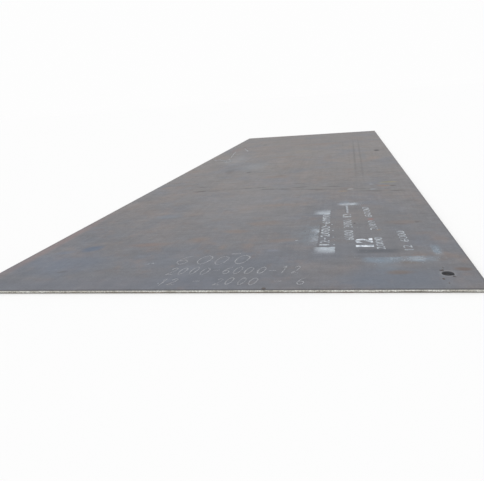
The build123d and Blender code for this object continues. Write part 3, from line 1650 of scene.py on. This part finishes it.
def scale_stains() -> tuple[Stain, ...]:
    """The tints, blotches, scuffs and heat marks of the scale, each where it lies.

    Returns:
        The stains, in the order in which they are laid.
    """
    brown, red, dark = shade(128, 115, 108), shade(140, 121, 119), shade(88, 88, 91)
    pale, smear = shade(158, 168, 178), shade(100, 104, 110)
    near_hole, far_hole = ((x, y - PLATE.near_end) for x, y in (PLATE.near_hole, PLATE.far_hole))
    return (
        # Broad tones of the middle and the far end
        Stain((-0.08, 1.45), (0.6, 1.2), shade(150, 148, 149), 0.16, soft=0.95),
        Stain((0.0, 5.5), (1.6, 2.3), shade(118, 114, 113), 0.24, soft=0.8),
        # Cool tones along the near end
        Stain((-0.3, 0.06), (1.1, 0.12), shade(107, 112, 124), 0.36, soft=0.9),
        Stain((-0.74, 0.3), (0.34, 0.2), shade(104, 116, 134), 0.42, soft=0.9),
        Stain((0.72, 0.09), (0.38, 0.16), shade(102, 111, 124), 0.46, soft=0.9),
        Stain((-0.72, 0.502), (0.074, 0.06), shade(92, 103, 119), 0.8, turn=28, soft=0.6, ragged=0.5),
        Stain((-0.84, 0.452), (0.075, 0.034), shade(104, 116, 134), 0.4, turn=12, soft=0.8),
        Stain((-0.54, 1.1), (0.12, 0.09), shade(112, 124, 138), 0.4, soft=0.8),
        Stain((0.201, 0.429), (0.045, 0.03), shade(128, 132, 146), 0.35, soft=0.9),
        # Warm tones behind them
        Stain((-0.43, 0.55), (0.16, 0.05), shade(128, 112, 106), 0.6, turn=8, ragged=0.9, soft=0.9),
        Stain((-0.20, 0.62), (0.09, 0.06), brown, 0.5, turn=20, ragged=0.9, soft=0.9),
        Stain((-0.05, 0.748), (0.1, 0.05), brown, 0.45, ragged=0.9),
        Stain((0.092, 0.885), (0.12, 0.06), brown, 0.4, ragged=0.9),
        Stain((0.226, 0.57), (0.1, 0.04), brown, 0.5, turn=10, ragged=0.9),
        Stain((-0.048, 0.484), (0.03, 0.05), shade(134, 118, 106), 0.35, ragged=0.9, soft=0.9),
        Stain((0.122, 1.291), (0.2, 0.05), brown, 0.35, ragged=0.9),
        Stain((0.80, 0.83), (0.13, 0.045), shade(122, 110, 104), 0.5, ragged=0.9),
        Stain((0.795, 0.797), (0.05, 0.012), shade(98, 88, 84), 0.6, turn=-8, ragged=0.5),
        Stain((0.72, 0.156), (0.07, 0.032), shade(114, 104, 99), 0.75, ragged=0.9),
        Stain((-0.972, 0.62), (0.05, 0.85), red, 0.5, ragged=0.3, soft=0.9),
        Stain((0.35, 3.3), (0.07, 0.34), shade(122, 112, 108), 0.4, ragged=0.9),
        Stain((-0.114, 3.514), (0.22, 0.09), brown, 0.5, ragged=0.9),
        Stain((0.217, 4.6), (0.5, 0.16), brown, 0.35, ragged=0.9),
        Stain((-0.022, 3.937), (0.25, 0.25), shade(146, 136, 118), 0.25, ragged=0.9, soft=0.9),
        Stain((0.81, 3.12), (0.1, 0.2), shade(140, 124, 114), 0.35, ragged=0.9, soft=0.9),
        Stain((-0.337, 2.95), (0.22, 0.4), shade(138, 143, 147), 0.3, ragged=0.9, soft=0.9),
        Stain((-0.05, 2.3), (0.16, 0.08), brown, 0.45, ragged=0.9),
        # Marks beside the right side
        Stain((0.957, 0.183), (0.05, 0.028), shade(106, 94, 88), 0.75, soft=0.8, ragged=0.9),
        Stain((0.775, 0.257), (0.05, 0.02), shade(112, 104, 98), 0.6, ragged=0.9),
        Stain((0.893, 0.285), (0.04, 0.02), shade(116, 106, 102), 0.4, ragged=0.9),
        Stain((0.879, 0.827), (0.018, 0.022), dark, 0.6),
        Stain((0.572, 0.832), (0.009, 0.014), shade(58, 58, 60), 0.85),
        Stain((0.327, 0.707), (0.007, 0.010), shade(70, 70, 72), 0.8),
        Stain((0.657, 0.903), (0.026, 0.028), shade(156, 104, 96), 0.55, soft=0.8),
        Stain((0.684, 0.706), (0.017, 0.015), shade(150, 126, 96), 0.6, soft=0.8),
        Stain((-0.695, 0.197), (0.03, 0.008), shade(84, 84, 84), 0.6, turn=14, soft=0.8),
        Stain((-0.533, 0.204), (0.022, 0.008), shade(92, 88, 86), 0.5, turn=20, soft=0.8),
        # Scuffs across the plate
        Stain((-0.32, 1.845), (0.36, 0.02), shade(74, 74, 74), 0.22, turn=4, ragged=0.6),
        Stain((0.38, 1.72), (0.6, 0.022), shade(74, 74, 74), 0.24, turn=-9, ragged=0.6),
        *(
            Stain((x, y), (reach, 0.022), shade(70, 70, 70), strength, turn=turn, ragged=0.8)
            for x, y, reach, strength, turn in (
                (-0.555, 1.815, 0.075, 0.6, 6),
                (-0.45, 1.81, 0.06, 0.3, 4),
                (-0.2, 1.858, 0.07, 0.35, 8),
                (-0.09, 1.872, 0.06, 0.3, 0),
                (-0.03, 1.80, 0.09, 0.55, -6),
                (0.09, 1.783, 0.06, 0.4, -8),
                (0.2, 1.828, 0.09, 0.5, 6),
                (0.44, 1.803, 0.1, 0.42, -3),
                (0.33, 1.71, 0.1, 0.3, -10),
                (0.70, 1.603, 0.13, 0.45, -6),
                (0.87, 1.585, 0.08, 0.5, -4),
                (0.19, 1.97, 0.07, 0.3, -5),
                (-0.02, 2.34, 0.07, 0.3, 0),
            )
        ),
        Stain((0.83, 1.882), (0.09, 0.022), shade(146, 142, 100), 0.62, turn=3, ragged=0.9),
        Stain((0.84, 1.905), (0.1, 0.012), dark, 0.5, turn=3, ragged=0.5),
        Stain((0.802, 1.76), (0.07, 0.035), shade(140, 116, 96), 0.55, ragged=0.9),
        Stain((0.858, 1.748), (0.03, 0.016), shade(72, 64, 58), 0.75, ragged=0.7),
        Stain((0.562, 1.69), (0.032, 0.02), shade(176, 182, 184), 0.55, ragged=0.9),
        Stain((0.712, 1.831), (0.024, 0.016), shade(176, 182, 184), 0.5, ragged=0.9),
        Stain((0.715, 1.66), (0.03, 0.02), pale, 0.45, ragged=0.9),
        Stain((0.51, 1.63), (0.06, 0.02), shade(150, 128, 96), 0.5, ragged=0.9),
        # Long lines from the rolls
        Stain((0.629, 3.5), (0.017, 2.3), dark, 0.36, turn=-0.55, ragged=0.4, soft=0.95),
        Stain((0.688, 3.5), (0.017, 2.2), dark, 0.36, turn=-0.8, ragged=0.4, soft=0.95),
        Stain((0.72, 3.3), (0.04, 0.5), shade(110, 114, 120), 0.4, ragged=0.5, soft=0.9),
        Stain((-0.341, 2.598), (0.04, 0.045), shade(78, 78, 80), 0.6, ragged=0.9),
        Stain((-0.54, 2.7), (0.06, 0.12), shade(92, 90, 90), 0.35, ragged=0.9),
        Stain((-0.589, 1.977), (0.07, 0.025), dark, 0.4, ragged=0.7),
        Stain((-0.556, 4.859), (0.03, 0.07), shade(88, 84, 82), 0.5, ragged=0.9),
        Stain((-0.786, 4.628), (0.03, 0.06), shade(112, 84, 76), 0.6, ragged=0.9),
        Stain((-0.86, 4.4), (0.1, 0.3), shade(136, 116, 110), 0.3, ragged=0.9),
        Stain((-0.65, 3.45), (0.2, 0.5), pale, 0.16, ragged=0.9, soft=0.9),
        # The smear beside the bold numerals
        Stain((0.735, 0.46), (0.05, 0.085), smear, 0.45, soft=0.9),
        Stain((0.56, 0.455), (0.04, 0.04), smear, 0.35, soft=0.9),
        # The heat ring round each hole, and painted shade round each rim
        Stain(near_hole, (0.036, 0.036), shade(138, 138, 142), 0.45, soft=0.35, ragged=0.2),
        Stain(far_hole, (0.04, 0.04), shade(128, 128, 132), 0.4, soft=0.4, ragged=0.2),
        # Painted shade: dark rings round the rims, stretched along the plate at the far hole, so that the
        # holes read dark and deep
        Stain(near_hole, (0.0242, 0.0242), shade(84, 84, 88), 0.6, soft=0.12, ragged=0.1),
        Stain(far_hole, (0.034, 0.046), shade(68, 68, 71), 0.8, soft=0.4, ragged=0.3),
    )


def spray_patches() -> tuple[SprayPatch, ...]:
    """The paint mist and the grime that the stencils' sheets left, with crisp inner limits.

    Returns:
        The patches, in the order in which they are laid.
    """
    mist, haze, grime = shade(204, 214, 224), shade(124, 140, 154), shade(86, 89, 95)
    return (
        # The wiped field that the rows stand on
        SprayPatch((0.39, 0.43), (0.86, 0.78), (0.33, 0.40), (1.26, 1.12), shade(112, 112, 115), 0.3),
        # Beside the first row
        SprayPatch((0.335, 0.415), (0.444, 0.440), (1.024, 1.034), (1.15, 1.05), mist, 0.72, patchy=0.4),
        SprayPatch((0.375, 0.43), (0.480, 0.475), (0.36, 0.45), (0.466, 0.459), mist, 0.8, patchy=0.4),
        SprayPatch((0.34, 0.392), (0.400, 0.396), (0.50, 0.56), (0.65, 0.59), mist, 0.55, patchy=0.8),
        SprayPatch((0.345, 0.39), (0.398, 0.394), (0.655, 0.70), (0.765, 0.73), mist, 0.65, patchy=0.8),
        SprayPatch((0.22, 0.36), (0.396, 0.39), (0.46, 0.60), (0.86, 0.74), haze, 0.35, patchy=0.8),
        SprayPatch((0.3955, 0.398), (0.4045, 0.402), (0.462, 0.466), (0.85, 0.80), grime, 0.5, patchy=0.5),
        SprayPatch((0.394, 0.400), (0.462, 0.456), (0.4595, 0.4625), (0.4705, 0.4675), grime, 0.6),
        # The bar and the thin line past the second row
        SprayPatch((0.47, 0.535), (0.622, 0.565), (1.218, 1.236), (1.296, 1.258), mist, 0.75, patchy=0.6),
        SprayPatch((0.485, 0.505), (0.565, 0.54), (1.245, 1.26), (1.37, 1.28), haze, 0.4, patchy=0.6),
        SprayPatch((0.529, 0.534), (0.545, 0.540), (1.03, 1.05), (1.225, 1.20), mist, 0.4, lean=-0.02),
        SprayPatch((0.522, 0.526), (0.534, 0.530), (1.03, 1.05), (1.21, 1.20), grime, 0.4, lean=-0.02),
        # Under and beside the bold numerals
        SprayPatch((0.545, 0.60), (0.80, 0.70), (0.355, 0.392), (0.430, 0.410), grime, 0.75, patchy=0.2),
        # The wide band towards the near hole, with its foot
        SprayPatch((0.575, 0.625), (0.775, 0.72), (0.24, 0.288), (0.328, 0.314), haze, 0.62, patchy=0.35),
        SprayPatch((0.72, 0.80), (0.905, 0.84), (0.245, 0.292), (0.338, 0.320), haze, 0.64, patchy=0.7),
        SprayPatch((0.77, 0.80), (0.85, 0.82), (0.268, 0.292), (0.326, 0.312), mist, 0.2, patchy=0.95),
        SprayPatch((0.872, 0.892), (0.925, 0.897), (0.30, 0.37), (0.50, 0.41), haze, 0.7, patchy=0.5),
        SprayPatch((0.62, 0.67), (0.76, 0.69), (0.14, 0.22), (0.30, 0.27), haze, 0.3, patchy=0.5),
    )


def spray_numerals(paint: bpy.types.Material) -> None:
    """Sprays the rows of plain sizes, and the bold thickness among them.

    Args:
        paint: The paint of the plain rows.
    """
    plain_rows = StencilMarks(0.00015)
    for row in (
        StencilRow("12-2000-6000", 0.452, 0.47, 1.022, 0.044, lean=-0.007, weight=0.008),
        StencilRow("6000 2000 12", 0.565, 0.552, 1.02, 0.045, lean=-0.009, weight=0.0),
        StencilRow("2000", 0.683, 0.704, 0.871, 0.036, lean=-0.008, weight=-0.012),
        StencilRow("6000", 0.669, 0.938, 1.168, 0.037, lean=-0.010, weight=-0.006),
        StencilRow("12 6000", 0.809, 0.388, 0.68, 0.037, lean=-0.010, weight=-0.012),
        StencilRow("2000", 0.694, 0.415, 0.592, 0.036, lean=-0.004),
    ):
        plain_rows.spray(row)
    plain_rows.dress("stencilled_sizes", paint)
    bold = StencilMarks(0.00016)
    bold.spray(StencilRow("12", 0.648, 0.428, 0.582, 0.078, lean=-0.002, weight=0.035))
    bold_paint = MarkingPaint("bold_paint", shade(222, 228, 235), shade(150, 158, 168), (0.44, 0.58))
    bold.dress("bold_thickness", bold_paint.make())


def spatter_paint(paint: bpy.types.Material) -> None:
    """Lets the mist settle past the stencils' edges, with a few larger drops.

    Args:
        paint: Its paint.
    """
    spray = Overspray(0.00018, 41)
    for mist in (
        SprayMist((0.425, 1.05), (0.03, 0.04), 900, limit_x=(-0.9, 0.441), limit_y=(1.034, 5.9)),
        SprayMist((0.45, 0.445), (0.028, 0.035), 800, limit_x=(-0.9, 0.476), limit_y=(0.02, 0.459)),
        SprayMist((0.385, 0.64), (0.022, 0.08), 500, limit_x=(-0.9, 0.395)),
        SprayMist((0.55, 1.25), (0.03, 0.02), 350),
        SprayMist((0.75, 0.30), (0.08, 0.02), 400),
        SprayMist((0.895, 0.4), (0.01, 0.04), 150),
        SprayMist((0.6, 0.75), (0.1, 0.22), 200),
    ):
        spray.settle(mist)
    for x, y in ((0.457, 0.820), (0.463, 0.714), (0.468, 0.603), (0.474, 0.494)):
        spray.drop(x, y, 0.0048)
    for x, y in ((0.294, 0.563), (-0.199, 0.067), (0.3, 0.57)):
        spray.drop(x, y, 0.0036)
    spray.dress("overspray_drops", paint)


def write_chalk() -> None:
    """Writes the sizes in chalk beside the near end, with the broad strokes of the far half."""
    chalk = Chalk(0.0002, 17)
    for line in (
        ChalkLine("6000", (-0.214, 0.268), 0.088, 0.11, slant=0.1),
        ChalkLine("2000-6000-12", (-0.208, 0.157), 0.047, 0.078, slant=0.2),
        ChalkLine("12 - 2000 - 6", (-0.206, 0.05), 0.0455, 0.068, slant=0.2),
    ):
        chalk.write(line)
    for route, pressure, width in (
        (((0.022, 0.392), (0.062, 0.398)), 0.75, chalk.width),
        (((-0.341, 0.268), (-0.325, 0.284)), 0.6, chalk.width),
        (((-0.316, 0.28), (-0.306, 0.292)), 0.5, chalk.width),
        (((-0.905, 3.50), (-0.88, 3.56), (-0.80, 3.484), (-0.735, 3.36), (-0.70, 3.37)), 0.75, 0.034),
        (((-0.70, 3.37), (-0.72, 3.46), (-0.76, 3.60)), 0.7, 0.016),
        (((-0.772, 3.72), (-0.79, 3.88), (-0.815, 4.05), (-0.83, 4.24)), 0.75, 0.013),
        (((-0.78, 4.56), (-0.73, 4.4), (-0.668, 4.235)), 1.0, 0.018),
    ):
        chalk.stroke(route, pressure, width)
    chalk.dress("chalk_marks", MarkingPaint("chalk", shade(184, 186, 190), shade(152, 154, 158)).make())


def scatter_slag() -> None:
    """Scatters the drops of slag round the near hole and by the front edge."""
    drops = (
        SlagDrop((0.873, 0.170), (0.0035, 0.009), 50, 0.0024),
        SlagDrop((0.879, 0.176), (0.0025, 0.005), 50, 0.0018),
        SlagDrop((0.906, 0.113), (0.0028, 0.006), 60, 0.0018),
        SlagDrop((0.866, 0.092), (0.004, 0.007), 20, 0.0022),
        SlagDrop((0.884, 0.200), (0.0025, 0.006), 10, 0.0009),
        SlagDrop((0.877, 0.055), (0.0022, 0.005), 0, 0.0008),
        SlagDrop((0.228, 0.014), (0.0075, 0.009), 15, 0.002),
        SlagDrop((0.234, 0.011), (0.003, 0.004), 60, 0.001),
    )
    SlagDrops(drops).build(SlagScale().make())


def cut_plate() -> None:
    """Builds the plate itself, with the finish of each of its zones."""
    # rim is the rolled-over edge's scale, kept darker than the top as painted shade of the rollover
    near, far, rim = shade(109, 110.5, 115.5), shade(124, 121.5, 121.4), shade(100, 100, 101)
    finishes = (
        MillScale("mill_scale", near, far, 0.26, scale_stains() + spray_patches()),
        MillScale("underside_scale", shade(114, 114, 117), shade(120, 117, 115), 0.6),
        MillScale("rolled_edge_painted_shade_scale", rim, rim, 0.3),
        BurnishedSteel(),
        TornSteel(),
        TorchCutSteel(),
    )
    holes = (
        LiftingHole(PLATE.near_hole, PLATE.near_radius, 1.0),
        LiftingHole(PLATE.far_hole, PLATE.far_radius, 50.0),
    )
    SteelPlate(ShearedEdge(), holes, tuple(finish.make() for finish in finishes)).build()


def main() -> None:
    """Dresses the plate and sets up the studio."""
    logging.basicConfig(level=logging.INFO, format="%(name)s: %(message)s")
    noise.seed_set(NOISE_SEED)
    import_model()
    PhotoCamera().set_up()
    Studio().set_up()
    cut_plate()
    paint = MarkingPaint("stencil_paint", shade(202, 210, 217), shade(134, 139, 146), (0.39, 0.56)).make()
    spray_numerals(paint)
    spatter_paint(paint)
    write_chalk()
    scatter_slag()
    bpy.context.view_layer.update()


if __name__ == "__main__":
    main()
